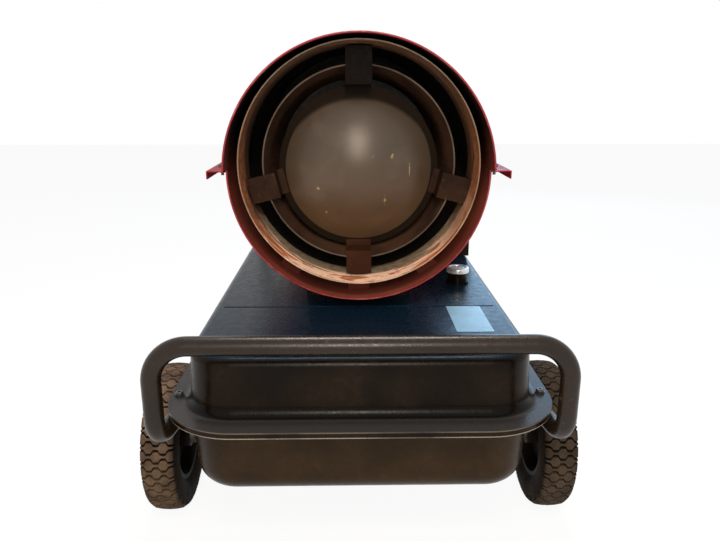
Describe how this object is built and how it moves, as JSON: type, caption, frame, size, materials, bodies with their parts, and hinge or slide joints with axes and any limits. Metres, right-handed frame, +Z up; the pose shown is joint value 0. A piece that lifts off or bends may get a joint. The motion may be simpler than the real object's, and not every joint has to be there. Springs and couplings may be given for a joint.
{
  "type": "forced air heater",
  "caption": "Torpedo-shaped direct-fired forced air heater: round red shell over a black fuel tank with tube handles, two wheels and a rear stand.",
  "frame": {"origin": "on the ground, at the middle of the object's footprint box", "axes": "+Z up; the hot-air outlet faces -Y; +X is to the right seen from the outlet"},
  "size_m": [0.575, 0.941, 0.6455],
  "materials": {
    "shell_paint": "gloss red enamel",
    "tank_paint": "semi-gloss black enamel",
    "tube_paint": "satin black powder coat",
    "heated_steel": "heat-tinted steel with rust",
    "burnt_steel": "dark heat-darkened steel",
    "plain_steel": "zinc plated",
    "fasteners": "dark zinc plated",
    "chrome_plate": "polished",
    "brass_fittings": "turned",
    "copper_line": "drawn tube",
    "fan_alloy": "as pressed",
    "motor_paint": "satin",
    "ceramic": "glazed ceramic",
    "black_plastic": "moulded",
    "switch_plastic": "moulded",
    "board_green": "circuit board",
    "filter_plastic": "clear moulded",
    "tyre_rubber": "block tread, dusty",
    "rim_plastic": "moulded"
  },
  "bodies": {
    "heater": {"upper_shell": "shell_paint", "lower_shell": "shell_paint", "shell_screws": "fasteners", "shell_nuts": "fasteners", "shell_supports": "tank_paint", "combustion_chamber": "heated_steel", "inner_ring": "burnt_steel", "diffuser_dome": "burnt_steel", "diffuser_tabs": "burnt_steel", "chamber_brackets": "heated_steel", "burner_head": "plain_steel", "nozzle_adapter": "brass_fittings", "igniter": "ceramic", "photocell": "black_plastic", "motor": "motor_paint", "motor_bracket": "plain_steel", "fan_guard": "tank_paint", "pump_body": "fan_alloy", "pump_end_cover": "fan_alloy", "pressure_gauge": "chrome_plate", "control_box": "tank_paint", "switch_frame": "black_plastic", "ignition_transformer": "black_plastic", "circuit_board": "board_green", "cord_gland": "black_plastic", "tank_upper": "tank_paint", "tank_lower": "tank_paint", "filler_neck": "tank_paint", "fuel_gauge": "black_plastic", "drain_plug": "fasteners", "fuel_line": "copper_line", "fuel_filter": "filter_plastic", "air_line": "black_plastic", "front_handle": "tube_paint", "rear_stand": "tube_paint", "rear_handle": "tube_paint", "frame_bolts": "fasteners", "frame_nuts": "fasteners", "axle_brackets": "tube_paint", "axle": "plain_steel", "wheel_washers": "fasteners", "axle_caps": "fasteners"},
    "fan_rotor": {"fan": "fan_alloy", "motor_shaft": "plain_steel", "pump_rotor": "black_plastic"},
    "left_wheel": {"left_tyre": "tyre_rubber", "left_rim": "rim_plastic"},
    "right_wheel": {"right_tyre": "tyre_rubber", "right_rim": "rim_plastic"},
    "knob": {"thermostat_knob": "black_plastic"},
    "switch": {"power_switch": "switch_plastic"},
    "cap": {"fuel_cap": "chrome_plate"}
  },
  "joints": [
    {"name": "fan_spin", "type": "hinge", "parent": "heater", "child": "fan_rotor", "pos_m": [0, 0.15, 0.4745], "axis": [0, 1, 0], "continuous": true},
    {"name": "left_wheel_spin", "type": "hinge", "parent": "heater", "child": "left_wheel", "pos_m": [-0.263, -0.2695, 0.1015], "axis": [1, 0, 0], "continuous": true},
    {"name": "right_wheel_spin", "type": "hinge", "parent": "heater", "child": "right_wheel", "pos_m": [0.263, -0.2695, 0.1015], "axis": [1, 0, 0], "continuous": true},
    {"name": "knob_turn", "type": "hinge", "parent": "heater", "child": "knob", "pos_m": [0.2035, 0.0835, 0.347], "axis": [1, 0, 0], "range_deg": [0, 270]},
    {"name": "switch_rock", "type": "hinge", "parent": "heater", "child": "switch", "pos_m": [0.2015, 0.1555, 0.347], "axis": [0, 0, 1], "range_deg": [0, 16]},
    {"name": "fuel_cap_turn", "type": "hinge", "parent": "heater", "child": "cap", "pos_m": [0.156, -0.1345, 0.302], "axis": [0, 0, 1], "range_deg": [0, 90]}
  ]
}
